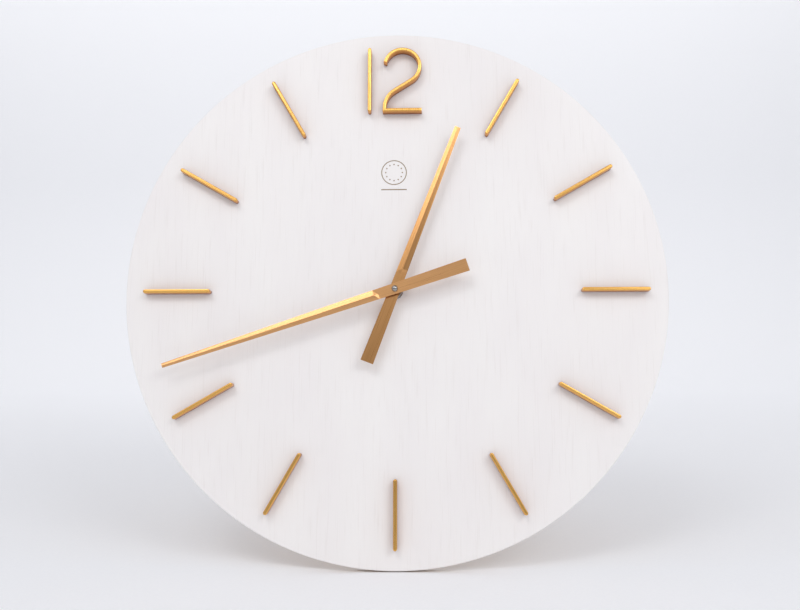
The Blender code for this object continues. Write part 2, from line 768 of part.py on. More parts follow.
def train_wheel(name, spot, wheel_gear, pinion_gear):
    """A moulded wheel with its pinion and pivots in one piece. Each gear is
    (layer, teeth, module, phase)."""
    front, rear = CASE_INNER + 0.5 * MM, BRIDGE_REAR + 0.1 * MM
    arbor = turned(
        name,
        [
            (0, front),
            (ARBOR, front),
            (ARBOR, rear),
            (0, rear),
        ],
        WHEEL_PLASTIC, spot=spot, facets=12,
    )
    layer, teeth, module, phase = wheel_gear
    join(arbor, gear(name + "_teeth", spot, layer, teeth, module, phase))
    layer, teeth, module, phase = pinion_gear
    pinion = gear(
        name + "_pinion", spot, layer, teeth, module, phase, leaves=True, overlap=0.8 * MM,
    )
    join(arbor, pinion)


def make_train():
    """The reduction from the stepping rotor to the centre wheel."""
    hub = turned(
        "centre_wheel",
        [
            (1.2 * MM, CENTRE_LAYER[1] + 0.1 * MM),
            (2.4 * MM, CENTRE_LAYER[1] + 0.1 * MM),
            (2.4 * MM, CENTRE_LAYER[0] - 0.2 * MM),
            (1.2 * MM, CENTRE_LAYER[0] - 0.2 * MM),
        ],
        WHEEL_PLASTIC, ring=True,
    )
    teeth = gear(
        "centre_teeth", HANDS_SPOT, CENTRE_LAYER, CENTRE_TEETH, CENTRE_MODULE, 0, bore=1.8 * MM,
    )
    join(hub, teeth)

    # Each wheel's phase is free, and the pinion that it drives is set to mesh with it.
    train_wheel(
        "third_wheel", THIRD_SPOT,
        (THIRD_LAYER, THIRD_TEETH, TRAIN_MODULE, 0),
        (CENTRE_LAYER, THIRD_PINION_TEETH, CENTRE_MODULE,
         meshing_phase(THIRD_PINION_TEETH, CENTRE_TEETH, 0, TO_THIRD)),
    )
    train_wheel(
        "second_wheel", SECOND_SPOT,
        (SECOND_LAYER, SECOND_TEETH, TRAIN_MODULE, 0),
        (THIRD_LAYER, SECOND_PINION_TEETH, TRAIN_MODULE,
         meshing_phase(SECOND_PINION_TEETH, THIRD_TEETH, 0, TO_SECOND)),
    )
    train_wheel(
        "first_wheel", FIRST_SPOT,
        (FIRST_LAYER, FIRST_TEETH, ROTOR_MODULE, 0),
        (SECOND_LAYER, FIRST_PINION_TEETH, TRAIN_MODULE,
         meshing_phase(FIRST_PINION_TEETH, SECOND_TEETH, 0, TO_FIRST)),
    )

    magnet_low, magnet_high = 10.9 * MM, 13.3 * MM
    rotor = turned(
        "rotor",
        [
            (0, CASE_INNER + 0.5 * MM),
            (ARBOR, CASE_INNER + 0.5 * MM),
            (ARBOR, BRIDGE_REAR + 0.1 * MM),
            (0, BRIDGE_REAR + 0.1 * MM),
        ],
        WHEEL_PLASTIC, spot=ROTOR_SPOT, facets=12,
    )
    rotor_phase = meshing_phase(ROTOR_TEETH, FIRST_TEETH, 0, TO_ROTOR)
    join(
        rotor,
        gear("rotor_leaves", ROTOR_SPOT, FIRST_LAYER, ROTOR_TEETH, ROTOR_MODULE, rotor_phase,
             leaves=True, overlap=0.2 * MM),
    )
    turned(
        "rotor_magnet",
        [
            (0.7 * MM, magnet_high),
            (2.5 * MM, magnet_high),
            (2.5 * MM, magnet_low),
            (0.7 * MM, magnet_low),
        ],
        MAGNET, spot=ROTOR_SPOT, ring=True,
    )


def make_motor():
    """The stator, and the coil on its core beside the case's top wall."""
    left, right = -26 * MM, 3 * MM
    leg_left, leg_right = -22 * MM, -3 * MM
    bar_low, bar_high, leg_top = 11.2 * MM, 19.2 * MM, 25.4 * MM
    stator = [
        (left, bar_low), (-1 * MM, bar_low), (-1 * MM, 17.6 * MM), (right, 19.4 * MM),
        (right, leg_top), (leg_right, leg_top), (leg_right, bar_high), (leg_left, bar_high),
        (leg_left, leg_top), (left, leg_top),
    ]
    rotor_hole = circle(2.9 * MM, ROUND, ROTOR_SPOT)
    plate("stator", [stator, rotor_hole], 11.6 * MM, 12.6 * MM, CORE_STEEL)

    coil_y, coil_height = 22.9 * MM, 10.9 * MM
    core_half = 1.5 * MM
    block(
        "coil_core",
        (left + 0.3 * MM, coil_y - core_half, 10.3 * MM),
        (right - 0.3 * MM, coil_y + core_half, 11.5 * MM),
        CORE_STEEL,
    )

    def coil_section(name, half_width, half_height, low, high, bore, material=None, collection=None):
        """A square ring on the coil's axis, between two places along x."""
        corner = half_height * 0.2
        outer = rounded_rectangle(-half_height, -half_width, half_height, half_width, corner, 2)
        bore_height, bore_width = bore
        inner = rectangle(-bore_height, -bore_width, bore_height, bore_width)
        piece = plate(name, [outer, inner], low, high, material, collection=collection)
        piece.location = ((low + high) / 2, coil_y, coil_height)
        piece.rotation_euler = (0, math.radians(90), 0)
        return piece

    coil_low, coil_high = leg_left + 0.9 * MM, leg_right - 0.7 * MM
    flange = 0.8 * MM
    core_bore = (0.9 * MM, 1.8 * MM)
    bobbin = coil_section(
        "coil_bobbin", 2.2 * MM, 1.3 * MM, coil_low, coil_high, core_bore, BOBBIN_PLASTIC,
    )
    for side, low in (("left", coil_low), ("right", coil_high - flange)):
        end = coil_section(
            "flange_" + side, 3.4 * MM, 3.4 * MM, low, low + flange, core_bore, collection=CUTTERS,
        )
        join(bobbin, end)
    air = 0.2 * MM
    coil_section(
        "coil_winding", 3.1 * MM, 3.1 * MM, coil_low + flange + air, coil_high - flange - air,
        (1.3 * MM + air, 2.2 * MM + air), COPPER,
    )


def make_circuit():
    low, high = 7.2 * MM, 8.2 * MM
    outline = rounded_rectangle(-23.5 * MM, -10.4 * MM, 23.5 * MM, -3.4 * MM, 0.6 * MM, 2)
    plate("circuit_board", [outline], low, high, BOARD_GREEN)

    blob_radius, blob_rise = 2.4 * MM, 1.2 * MM
    blob = [
        (blob_radius * math.cos(math.radians(a)), low - GLUE - blob_rise * math.sin(math.radians(a)))
        for a in range(0, 91, 18)
    ]
    turned("clock_chip", [(0, low - GLUE)] + blob, BLACK_PLASTIC, spot=(5 * MM, -7 * MM), facets=16)

    crystal = rod("quartz_crystal", -3.1 * MM, 3.1 * MM, 1.05 * MM, NICKEL, facets=12)
    crystal.location = (-8 * MM, -7 * MM, low - GLUE - 1.05 * MM)
    crystal.rotation_euler = (0, math.radians(90), 0)


def make_battery_and_contacts():
    for name, side in (("contact_minus", -1), ("contact_plus", 1)):
        inner, outer = side * 26.1 * MM, side * 26.5 * MM
        low_x, high_x = sorted((inner, outer))
        contact = block(name, (low_x, -24 * MM, 5.5 * MM), (high_x, -5 * MM, 12 * MM), STEEL)
        tab_x = sorted((side * 21 * MM, side * 26.3 * MM))
        tab = block(name + "_tab", (tab_x[0], -8.6 * MM, 6.6 * MM), (tab_x[1], -5.2 * MM, 7.1 * MM))
        bump_x = sorted((side * 25.4 * MM, side * 26.3 * MM))
        bump = plate(name + "_bump", [circle(2.4 * MM, 16)], *bump_x)
        bump.location = (sum(bump_x) / 2, BATTERY_SPOT[1], BATTERY_AXIS_HEIGHT)
        bump.rotation_euler = (0, math.radians(90), 0)
        join(contact, tab, bump)

    nub = 1.2 * MM
    half = BATTERY_LENGTH / 2
    edge = 0.5 * MM
    battery = turned(
        "battery",
        [
            (0, half),
            (2.7 * MM, half),
            (2.7 * MM, half - nub),
            (BATTERY_RADIUS - edge, half - nub),
            (BATTERY_RADIUS, half - nub - edge),
            (BATTERY_RADIUS, -half + edge),
            (BATTERY_RADIUS - edge, -half),
            (0, -half),
        ],
        BATTERY_SKIN, facets=32,
    )
    battery.location = (*BATTERY_SPOT, BATTERY_AXIS_HEIGHT)
    battery.rotation_euler = (0, math.radians(90), 0)


# --- hanging ----------------------------------------------------------------

def keyhole():
    """A round hole for the nail's head with a slot above it, as one outline. The
    nail rests at the slot's top, which is the local origin."""
    slot = 2.3 * MM
    head = 4.6 * MM
    head_centre = (0, -9 * MM)
    side = math.degrees(math.asin(slot / head))
    return arc((0, 0), slot, 0, 180, 8) + arc(head_centre, head, 90 + side, 450 - side, 16)


def make_hanger():
    outline = rounded_rectangle(-20 * MM, -16 * MM, 20 * MM, 8 * MM, 3 * MM)
    screw_y = -3 * MM
    holes = [circle(1.8 * MM, 12, (x, screw_y)) for x in (-HANGER_SCREW, HANGER_SCREW)]
    plate(
        "hanger_plate", [outline, keyhole(), *holes], HANGER_REAR, HANGER_FRONT, STEEL,
        spot=(0, NAIL_ABOVE_AXIS),
    )
    head_radius, shank_radius = 3.2 * MM, 1.4 * MM
    head_seat = HANGER_REAR - GLUE
    for name, x in (("hanger_screw_1", -HANGER_SCREW), ("hanger_screw_2", HANGER_SCREW)):
        turned(
            name,
            [
                (0, 19 * MM),
                (shank_radius, 17.8 * MM),
                (shank_radius, head_seat),
                (head_radius, head_seat),
                (head_radius, head_seat - 0.8 * MM),
                (head_radius - 0.9 * MM, head_seat - 1.7 * MM),
                (0, head_seat - 1.7 * MM),
            ],
            STEEL, spot=(x, NAIL_ABOVE_AXIS + screw_y), facets=16,
        )


def make_wall_bumpers():
    radius, edge = 10 * MM, 1 * MM
    top = BOARD_BACK - GLUE
    spots = (("top", 90, 262 * MM), ("left", 215, 262 * MM), ("right", 325, 262 * MM))
    for label, direction, distance in spots:
        turned(
            "wall_bumper_" + label,
            [(0, top), (radius, top), (radius, edge), (radius - edge, 0), (0, 0)],
            RUBBER, spot=step_from((0, 0), distance, direction),
        )


make_dial()
make_hour_marks()
make_hands()
make_movement_fixing()
make_case()
make_bridge_and_cover()
make_motion_work()
make_train()
make_motor()
make_circuit()
make_battery_and_contacts()
make_hanger()
make_wall_bumpers()
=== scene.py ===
"""Finishes, light and camera for a 60 cm wall clock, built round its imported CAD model.

World frame: metres, +Z up the wall, the dial faces -Y. The clock stands on its edge
and leans back a little, so in its own upright frame the floor falls towards the viewer.
"""

import json
import math

import bmesh
import bpy
from mathutils import Matrix, Vector


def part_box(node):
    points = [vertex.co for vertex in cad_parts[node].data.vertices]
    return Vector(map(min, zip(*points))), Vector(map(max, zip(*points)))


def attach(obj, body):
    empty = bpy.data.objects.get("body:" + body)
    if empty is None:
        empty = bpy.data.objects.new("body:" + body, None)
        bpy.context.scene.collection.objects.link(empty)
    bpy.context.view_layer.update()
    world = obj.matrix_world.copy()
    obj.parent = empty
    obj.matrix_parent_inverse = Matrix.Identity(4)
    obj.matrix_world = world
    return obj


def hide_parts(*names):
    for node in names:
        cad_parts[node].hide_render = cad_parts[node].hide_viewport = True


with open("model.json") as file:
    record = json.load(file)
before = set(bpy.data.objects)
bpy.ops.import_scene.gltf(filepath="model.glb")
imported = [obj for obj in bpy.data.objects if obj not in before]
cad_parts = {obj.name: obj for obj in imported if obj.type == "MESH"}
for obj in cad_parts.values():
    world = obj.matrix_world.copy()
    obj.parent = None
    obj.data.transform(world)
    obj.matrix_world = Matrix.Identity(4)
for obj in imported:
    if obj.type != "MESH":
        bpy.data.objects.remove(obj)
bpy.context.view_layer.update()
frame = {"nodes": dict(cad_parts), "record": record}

MM = 0.001
LEAN = 8.75  # degrees that the clock leans back on its floor

# Places on the clock, from its own pieces.
HUB = (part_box("minute_arbor")[0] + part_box("minute_arbor")[1]) / 2
DIAL_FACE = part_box("dial_veneer")[0].y
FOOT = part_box("dial_board")[0].z
BOARD_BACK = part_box("dial_board")[1].y


# --- shader building ---------------------------------------------------------

def linear(code):
    """An sRGB hex colour as the linear colour that a shader takes."""
    channels = [int(code[i:i + 2], 16) / 255 for i in (1, 3, 5)]
    return (*[c / 12.92 if c <= 0.04045 else ((c + 0.055) / 1.055) ** 2.4 for c in channels], 1)


def add(tree, kind, inputs=None, **settings):
    """Adds a node with its settings. An input is a value, or another node's output to link."""
    node = tree.nodes.new("ShaderNode" + kind)
    for key, value in settings.items():
        setattr(node, key, value)
    for key, value in (inputs or {}).items():
        if isinstance(value, bpy.types.NodeSocket):
            tree.links.new(value, node.inputs[key])
        else:
            node.inputs[key].default_value = value
    return node


def start(name, colour, roughness, metallic=0.0, **more):
    """A new material, its node tree and its main shader."""
    material = bpy.data.materials.new(name)
    material.use_nodes = True
    tree = material.node_tree
    shader = tree.nodes["Principled BSDF"]
    shader.inputs["Base Color"].default_value = linear(colour)
    shader.inputs["Roughness"].default_value = roughness
    shader.inputs["Metallic"].default_value = metallic
    for key, value in more.items():
        shader.inputs[key.replace("_", " ")].default_value = value
    material.diffuse_color = linear(colour)
    return material, tree, shader


def place_in(tree, scale, turn=0.0):
    """The piece's own coordinates, turned about the dial's axis and then scaled. A scale
    is one over a real size in metres, so a pattern of size 1 is that size."""
    here = add(tree, "TexCoord").outputs["Object"]
    about_hub = add(tree, "Mapping", {"Vector": here, "Location": tuple(-HUB)})
    turned = add(tree, "Mapping", {"Vector": about_hub.outputs[0], "Rotation": (0, turn, 0)})
    return add(tree, "Mapping", {"Vector": turned.outputs[0], "Scale": scale}).outputs[0]


def noise(tree, where, detail=3.0, rough=0.55):
    """Uneven cloud from 0 to 1, whose lumps are about 1 across in the place it is given."""
    found = add(tree, "TexNoise", {"Vector": where, "Scale": 1.0, "Detail": detail, "Roughness": rough})
    return found.outputs["Fac"]


def tint(tree, fac, low, high, spread=(0.3, 0.7)):
    """A colour that runs between two hex values as a pattern rises across its spread."""
    ramp = add(tree, "ValToRGB", {"Fac": fac})
    first, last = ramp.color_ramp.elements
    first.position, last.position = spread
    first.color, last.color = linear(low), linear(high)
    return ramp.outputs["Color"]


def between(tree, fac, low, high):
    """A pattern from 0 to 1 spread between two values."""
    return add(tree, "MapRange", {"Value": fac, "To Min": low, "To Max": high}).outputs[0]


def blend(tree, fac, first, second):
    """The first colour where a pattern is 0 and the second where it is 1."""
    mixed = add(tree, "Mix", {"Factor": fac}, data_type="RGBA")
    # Mix keeps one set of sockets for each kind of data, so its colours are set by place.
    for at, source in ((6, first), (7, second)):
        tree.links.new(source, mixed.inputs[at])
    return mixed.outputs[2]


def bump(tree, shader, height, depth, strength=1.0):
    """Relief of a depth in metres, without a change of shape."""
    relief = add(tree, "Bump", {"Height": height, "Distance": depth, "Strength": strength})
    tree.links.new(relief.outputs["Normal"], shader.inputs["Normal"])


def feed(tree, shader, **sockets):
    """Links patterns to the main shader's sockets."""
    for key, value in sockets.items():
        tree.links.new(value, shader.inputs[key.replace("_", " ")])


# --- finishes ----------------------------------------------------------------

def lacquered_ash():
    """Ash veneer sprayed with satin white lacquer. The open pores stay as fine upright
    grooves, close together in the early wood of each ring, and the rings arch low down."""
    material, tree, shader = start("white_lacquered_ash_veneer", "#F5F1F0", 0.42, IOR=1.5)
    here = add(tree, "TexCoord").outputs["Object"]
    split = add(tree, "SeparateXYZ", {"Vector": here})
    across, up = split.outputs["X"], split.outputs["Z"]

    # A flat-sawn leaf cuts the tree's rings at a slant: straight at its sides, arched between.
    wander = noise(tree, place_in(tree, (1 / (90 * MM), 1, 1 / (400 * MM))), 2.0)
    drift = between(tree, wander, -40 * MM, 40 * MM)
    bent = add(tree, "Math", {0: across, 1: drift}, operation="ADD").outputs[0]
    # The cut's distance from the tree's heart, level with the nail, and its slope up the leaf.
    cut_depth, cut_slope = 0.062, 0.16
    slant = add(
        tree, "Math", {0: up, 1: cut_slope, 2: cut_depth}, operation="MULTIPLY_ADD",
    ).outputs[0]
    both = add(tree, "CombineXYZ", {"X": bent, "Y": slant}).outputs[0]
    ring_at = add(tree, "VectorMath", {0: both}, operation="LENGTH").outputs["Value"]
    ring_step = 9 * MM
    phase = add(
        tree, "Math", {0: ring_at, 1: 2 * math.pi / ring_step}, operation="MULTIPLY",
    ).outputs[0]
    wave = add(tree, "Math", {0: phase}, operation="SINE").outputs[0]
    early = add(tree, "MapRange", {"Value": wave, "From Min": -0.4, "From Max": 1.0}).outputs[0]

    # Pores are about 0.3 mm wide. They are drawn 1 mm wide, so that they show.
    pores = noise(tree, place_in(tree, (1 / (1.0 * MM), 1 / (5 * MM), 1 / (38 * MM))), 2.0, 0.5)
    open_pores = add(tree, "MapRange", {"Value": pores, "From Min": 0.52, "From Max": 0.68}).outputs[0]
    packed = add(tree, "Math", {0: early, 1: 0.75, 2: 0.25}, operation="MULTIPLY_ADD").outputs[0]
    grooves = add(tree, "Math", {0: open_pores, 1: packed}, operation="MULTIPLY").outputs[0]
    cloud = noise(tree, place_in(tree, (1 / (60 * MM), 1, 1 / (160 * MM))), 2.0)

    face = tint(tree, cloud, "#F5F1F0", "#F8F5F3")
    pore = tint(tree, cloud, "#E0DAD6", "#E6E0DC")
    pore_tone = 0.24  # lacquer hides most of a pore's darker tone
    shown = add(tree, "Math", {0: grooves, 1: pore_tone}, operation="MULTIPLY").outputs[0]
    feed(
        tree, shader,
        Base_Color=blend(tree, shown, face, pore),
        Roughness=between(tree, grooves, 0.38, 0.58),
    )
    sunk = add(tree, "Math", {0: grooves, 1: -1.0}, operation="MULTIPLY").outputs[0]
    bump(tree, shader, sunk, 0.10 * MM, 0.5)
    return material


def brushed_gold(name, quarter_turns):
    """Aluminium bar with rounded edges, brushed along its length and gold anodised: a satin
    metal whose fine lines run out from the hub and stretch its highlights across the bar.
    Its sides are painted a deeper gold than its front, as painted shade, and bronze along their foot."""
    material, tree, shader = start(
        name, "#E3B067", 0.27, 1.0, Anisotropic=0.6, Anisotropic_Rotation=quarter_turns / 4,
    )
    coordinates = add(tree, "TexCoord")
    here = coordinates.outputs["Object"]
    split = add(tree, "SeparateXYZ", {"Vector": here})
    above = add(tree, "Math", {0: split.outputs["Z"], 1: -HUB.z}, operation="ADD").outputs[0]
    angle = add(tree, "Math", {0: split.outputs["X"], 1: above}, operation="ARCTAN2").outputs[0]
    # Lines are 0.25 mm apart at the bars' middle, 240 mm out from the hub, coarser than real
    # ones so that they show. They change over 30 mm of distance from the nail.
    bar_middle, line_step, line_length = 240, 0.25, 30
    around = add(tree, "Math", {0: angle, 1: bar_middle / line_step}, operation="MULTIPLY").outputs[0]
    deep = add(
        tree, "Math", {0: split.outputs["Y"], 1: 1 / (line_step * MM)}, operation="MULTIPLY",
    ).outputs[0]
    along = add(tree, "VectorMath", {0: here}, operation="LENGTH").outputs["Value"]
    run = add(tree, "Math", {0: along, 1: 1 / (line_length * MM)}, operation="MULTIPLY").outputs[0]
    where = add(tree, "CombineXYZ", {"X": around, "Y": deep, "Z": run}).outputs[0]
    lines = noise(tree, where, 2.0)

    # A surface that faces straight out of the dial has a normal of -1 along Y.
    facing = add(tree, "SeparateXYZ", {"Vector": coordinates.outputs["Normal"]}).outputs["Y"]
    front = add(
        tree, "MapRange", {"Value": facing, "From Min": -0.2, "From Max": -0.9},
    ).outputs[0]
    # Painted shade: sides that turn away from the front get a deeper gold than the front.
    front_gold = tint(tree, lines, "#E5AE5C", "#F6C472")
    painted_shade_side_gold = tint(tree, lines, "#D8954A", "#E9A85B")
    painted_shade_side_or_front = blend(tree, front, painted_shade_side_gold, front_gold)
    bronze_from, bronze_full = 6 * MM, 2.2 * MM  # heights over the dial's face
    foot = add(
        tree, "MapRange",
        {
            "Value": split.outputs["Y"],
            "From Min": DIAL_FACE - bronze_from, "From Max": DIAL_FACE - bronze_full,
        },
    ).outputs[0]
    bronze = tint(tree, lines, "#8A4014", "#984C1C")
    feed(
        tree, shader,
        Base_Color=blend(tree, foot, painted_shade_side_or_front, bronze),
        Roughness=between(tree, lines, 0.22, 0.34),
    )
    bump(tree, shader, lines, 0.03 * MM, 0.5)
    return material


def hand_sheet(name, degrees, quarter_turns, low, high):
    """Aluminium sheet, pressed and champagne anodised, with fine lines brushed along the hand,
    drawn coarser than real so that they show. They stretch its highlights across the hand.
    degrees is the hand's turn from upright at rest. quarter_turns is 0 for a nearly upright
    hand, whose highlights stretch level, and 1 for a nearly level one."""
    material, tree, shader = start(
        name, low, 0.30, 1.0, Anisotropic=0.8, Anisotropic_Rotation=quarter_turns / 4,
    )
    where = place_in(tree, (1 / (0.3 * MM), 1 / (0.3 * MM), 1 / (45 * MM)), math.radians(-degrees))
    lines = noise(tree, where, 2.0)
    feed(
        tree, shader,
        Base_Color=tint(tree, lines, low, high),
        Roughness=between(tree, lines, 0.24, 0.36),
    )
    bump(tree, shader, lines, 0.05 * MM, 0.8)
    return material


def turned_metal(name, colour, roughness, groove=0.25):
    """Bar turned on a lathe and left or plated: faint rings about the hands' axis."""
    material, tree, shader = start(name, colour, roughness, 1.0)
    here = place_in(tree, (1, 0, 1))
    away = add(tree, "VectorMath", {0: here}, operation="LENGTH").outputs["Value"]
    scaled = add(tree, "Math", {0: away, 1: 1 / (groove * MM)}, operation="MULTIPLY").outputs[0]
    rings = noise(tree, add(tree, "CombineXYZ", {"X": scaled}).outputs[0], 1.0)
    feed(tree, shader, Roughness=between(tree, rings, roughness * 0.8, roughness * 1.3))
    bump(tree, shader, rings, 0.01 * MM, 0.2)
    return material


def grained(name, low, high, grain, roughness, depth, metallic=0.0, strength=0.4, **more):
    """A moulded, cast or sawn surface: speckle of one grain size, in colour, gloss and relief."""
    material, tree, shader = start(name, low, roughness, metallic, **more)
    speckle = noise(tree, place_in(tree, (1 / (grain * MM),) * 3), 3.0)
    feed(
        tree, shader,
        Base_Color=tint(tree, speckle, low, high),
        Roughness=between(tree, speckle, roughness * 0.88, min(1.0, roughness * 1.12)),
    )
    bump(tree, shader, speckle, depth * MM, strength)
    return material


def fibreboard():
    """MDF, sawn and sanded: pressed fibres in pale and dark flecks on a tan ground."""
    material, tree, shader = start("sanded_mdf_board", "#B8936A", 0.85)
    flecks = noise(tree, place_in(tree, (1 / (1.4 * MM), 1 / (0.6 * MM), 1 / (1.1 * MM))), 4.0, 0.7)
    cloud = noise(tree, place_in(tree, (1 / (45 * MM),) * 3), 2.0)
    blended = add(tree, "Math", {0: cloud, 1: 0.35}, operation="MULTIPLY").outputs[0]
    total = add(tree, "Math", {0: flecks, 1: 0.65, 2: blended}, operation="MULTIPLY_ADD").outputs[0]
    feed(tree, shader, Base_Color=tint(tree, total, "#AB885F", "#C4A177", (0.36, 0.64)))
    bump(tree, shader, flecks, 0.08 * MM, 0.5)
    return material


def wound_copper():
    """Enamelled copper wire, close wound: upright turns, painted bright on their crests and dark between
    them as painted highlight and painted shade. Real turns are 0.03 mm and are drawn at 0.35 mm, so that
    they show."""
    material, tree, shader = start("enamelled_copper_winding", "#B4632F", 0.3, 1.0)
    here = add(tree, "TexCoord").outputs["Object"]
    across = add(tree, "SeparateXYZ", {"Vector": here}).outputs["X"]
    turn_step = 0.35 * MM
    phase = add(
        tree, "Math", {0: across, 1: 2 * math.pi / turn_step}, operation="MULTIPLY",
    ).outputs[0]
    turns = add(tree, "Math", {0: phase}, operation="SINE").outputs[0]
    shade = add(tree, "MapRange", {"Value": turns, "From Min": -1.0}).outputs[0]
    # Painted highlight on each turn's crest and painted shade between turns.
    feed(tree, shader, Base_Color=tint(tree, shade, "#8A4419", "#CC7A42", (0.2, 0.8)))
    bump(tree, shader, shade, 0.1 * MM, 0.6)
    return material


def battery_sleeve():
    """A shrunk printed sleeve in plain grey-blue over a steel can, with bare steel at the ends."""
    material, tree, shader = start("printed_sleeve_on_steel_can", "#42566B", 0.32, IOR=1.5)
    low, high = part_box("battery")
    middle = (low.x + high.x) / 2
    here = add(tree, "TexCoord").outputs["Object"]
    across = add(tree, "SeparateXYZ", {"Vector": here}).outputs["X"]
    offset = add(tree, "Math", {0: across, 1: -middle}, operation="ADD").outputs[0]
    away = add(tree, "Math", {0: offset}, operation="ABSOLUTE").outputs[0]
    sleeve_reach = (high.x - low.x) / 2 - 1.5 * MM
    bare = add(tree, "Math", {0: away, 1: sleeve_reach}, operation="GREATER_THAN").outputs[0]
    grain = noise(tree, place_in(tree, (1 / (0.8 * MM),) * 3), 2.0)
    sleeve = tint(tree, grain, "#3C5064", "#485D73")
    steel = tint(tree, grain, "#B4B5B6", "#CBCBCA")
    feed(tree, shader, Base_Color=blend(tree, bare, sleeve, steel), Metallic=bare)
    return material


# Each of the record's finishes, by its slot.
FINISHES = {
    "white_veneer": lacquered_ash(),
    "fibreboard": fibreboard(),
    "gold_bar": brushed_gold("gold_anodised_aluminium_bar", 0),
    "brass": turned_metal("turned_brass", "#D8AE62", 0.28),
    "bright_nickel": turned_metal("bright_nickel_plate", "#C6C7C8", 0.22),
    # Black rubber is matt and slightly grey where it is scuffed.
    "rubber": grained("moulded_black_rubber", "#1B1B1C", "#2A2A2B", 0.5, 0.8, 0.03, IOR=1.52),
    # Spark-eroded tools leave black ABS with an even fine texture that breaks up its gloss.
    "case_plastic": grained("textured_black_abs", "#141416", "#1F1F21", 0.45, 0.48, 0.04, IOR=1.54),
    "chip_epoxy": grained("cast_black_epoxy", "#0E0E0F", "#19191A", 0.8, 0.3, 0.02, IOR=1.55),
    # Natural acetal is a milky white with a soft gloss.
    "wheel_plastic": grained(
        "moulded_natural_acetal", "#E4E0D2", "#EEEBE0", 0.9, 0.4, 0.01, IOR=1.48,
        Subsurface_Weight=0.1, Subsurface_Scale=0.5 * MM,
    ),
    "knob_plastic": grained("moulded_grey_acetal", "#5C5C5E", "#6C6C6E", 0.5, 0.42, 0.03, IOR=1.48),
    "magnet": grained("sintered_ferrite", "#2F2F31", "#414144", 0.35, 0.5, 0.02, 0.3),
    "core_steel": grained("stamped_silicon_steel", "#9A9B9D", "#B0B1B3", 0.7, 0.36, 0.01, 1.0, 0.2),
    "bobbin_plastic": grained("moulded_ivory_nylon", "#DCD3B4", "#E8E0C6", 0.7, 0.5, 0.02, IOR=1.53),
    "copper_wire": wound_copper(),
    "circuit_laminate": grained("solder_masked_laminate", "#1E5C37", "#2A7046", 0.6, 0.38, 0.02, IOR=1.55),
    # Zinc plate over stamped steel has a slightly blue, cloudy satin.
    "zinc_steel": grained("zinc_plated_steel", "#A4A9AE", "#BFC3C7", 2.2, 0.36, 0.01, 1.0, 0.2),
    "battery_sleeve": battery_sleeve(),
}

REST_MINUTES = 41.95
# A highlight stretches level on an upright piece, so the nearly level bars and hand have that turned a
# quarter. The two hands' colours are tuned apart: the minute hand's lighter colour is painted light,
# standing in for the brighter light it catches on the same anodised sheet.
LEVEL_BAR = brushed_gold("gold_anodised_aluminium_level_bar", 1)
OWN_FINISHES = {
    **{f"hour_baton_{hour:02d}": LEVEL_BAR for hour in (2, 3, 4, 8, 9, 10)},
    "hour_hand": hand_sheet(
        "champagne_anodised_hour_hand_sheet", REST_MINUTES / 2, 0, "#C6905A", "#DBA66E",
    ),
    # Painted light: these lighter colours stand in for the brighter light that the minute hand catches.
    "minute_hand": hand_sheet(
        "champagne_anodised_minute_hand_sheet", REST_MINUTES * 6, 1, "#D29C67", "#E7B27B",
    ),
}

for part in frame["record"]["subparts"]:
    node = frame["nodes"][part["node"]]
    wanted = OWN_FINISHES.get(part["node"]) or FINISHES[part["material_slot"]]
    node.data.materials.clear()
    node.data.materials.append(wanted)


# --- finer pieces ------------------------------------------------------------

def new_piece(name, work, material, smooth=True):
    """An object with one finish, from a finished mesh in the making."""
    mesh = bpy.data.meshes.new(name)
    bmesh.ops.recalc_face_normals(work, faces=work.faces)
    work.to_mesh(mesh)
    work.free()
    for face in mesh.polygons:
        face.use_smooth = smooth
    mesh.materials.append(material)
    piece = bpy.data.objects.new(name, mesh)
    bpy.context.scene.collection.objects.link(piece)
    return piece


def lathe(work, profile, facets=64):
    """Turns a profile of (radius, height out of the dial) points about the hands' axis."""
    rings = []
    for radius, height in profile:
        if radius < 1e-6:
            rings.append([work.verts.new((HUB.x, -height, HUB.z))])
            continue
        ring = []
        for k in range(facets):
            angle = 2 * math.pi * k / facets
            x = HUB.x + radius * math.cos(angle)
            z = HUB.z + radius * math.sin(angle)
            ring.append(work.verts.new((x, -height, z)))
        rings.append(ring)
    for lower, upper in zip(rings, rings[1:]):
        for k in range(facets):
            corners = [lower[k % len(lower)], lower[(k + 1) % len(lower)],
                       upper[(k + 1) % len(upper)], upper[k % len(upper)]]
            work.faces.new(list(dict.fromkeys(corners)))


def cap_nut():
    """The domed nut on the minute arbor, with a rolled foot and a polished dome."""
    low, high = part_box("hand_nut")
    radius = (high.x - low.x) / 2
    foot, top = -high.y, -low.y
    skirt = foot + 0.7 * MM
    bore, bore_end = 1.4 * MM, foot + 2.1 * MM
    roll = 0.15 * MM
    dome = radius - 0.25 * MM
    work = bmesh.new()
    profile = [
        (0, bore_end),
        (bore, bore_end),
        (bore, foot),
        (radius - roll, foot),
        (radius, foot + roll),
        (radius, skirt - 0.1 * MM),
        (dome, skirt),
    ]
    dome_steps = 14
    for step in range(1, dome_steps + 1):
        angle = math.radians(90 * step / dome_steps)
        profile.append((dome * math.cos(angle), skirt + (top - skirt) * math.sin(angle)))
    profile[-1] = (0, top)
    lathe(work, profile)
    # Painted shade: the nut's nickel is darker than the other nickel plate, standing in for dark
    # reflections in its polished dome.
    nut = new_piece("cap_nut", work, turned_metal("polished_nickel_cap_nut", "#A19F9D", 0.06))
    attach(nut, "minute_group")
    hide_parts("hand_nut")


cap_nut()


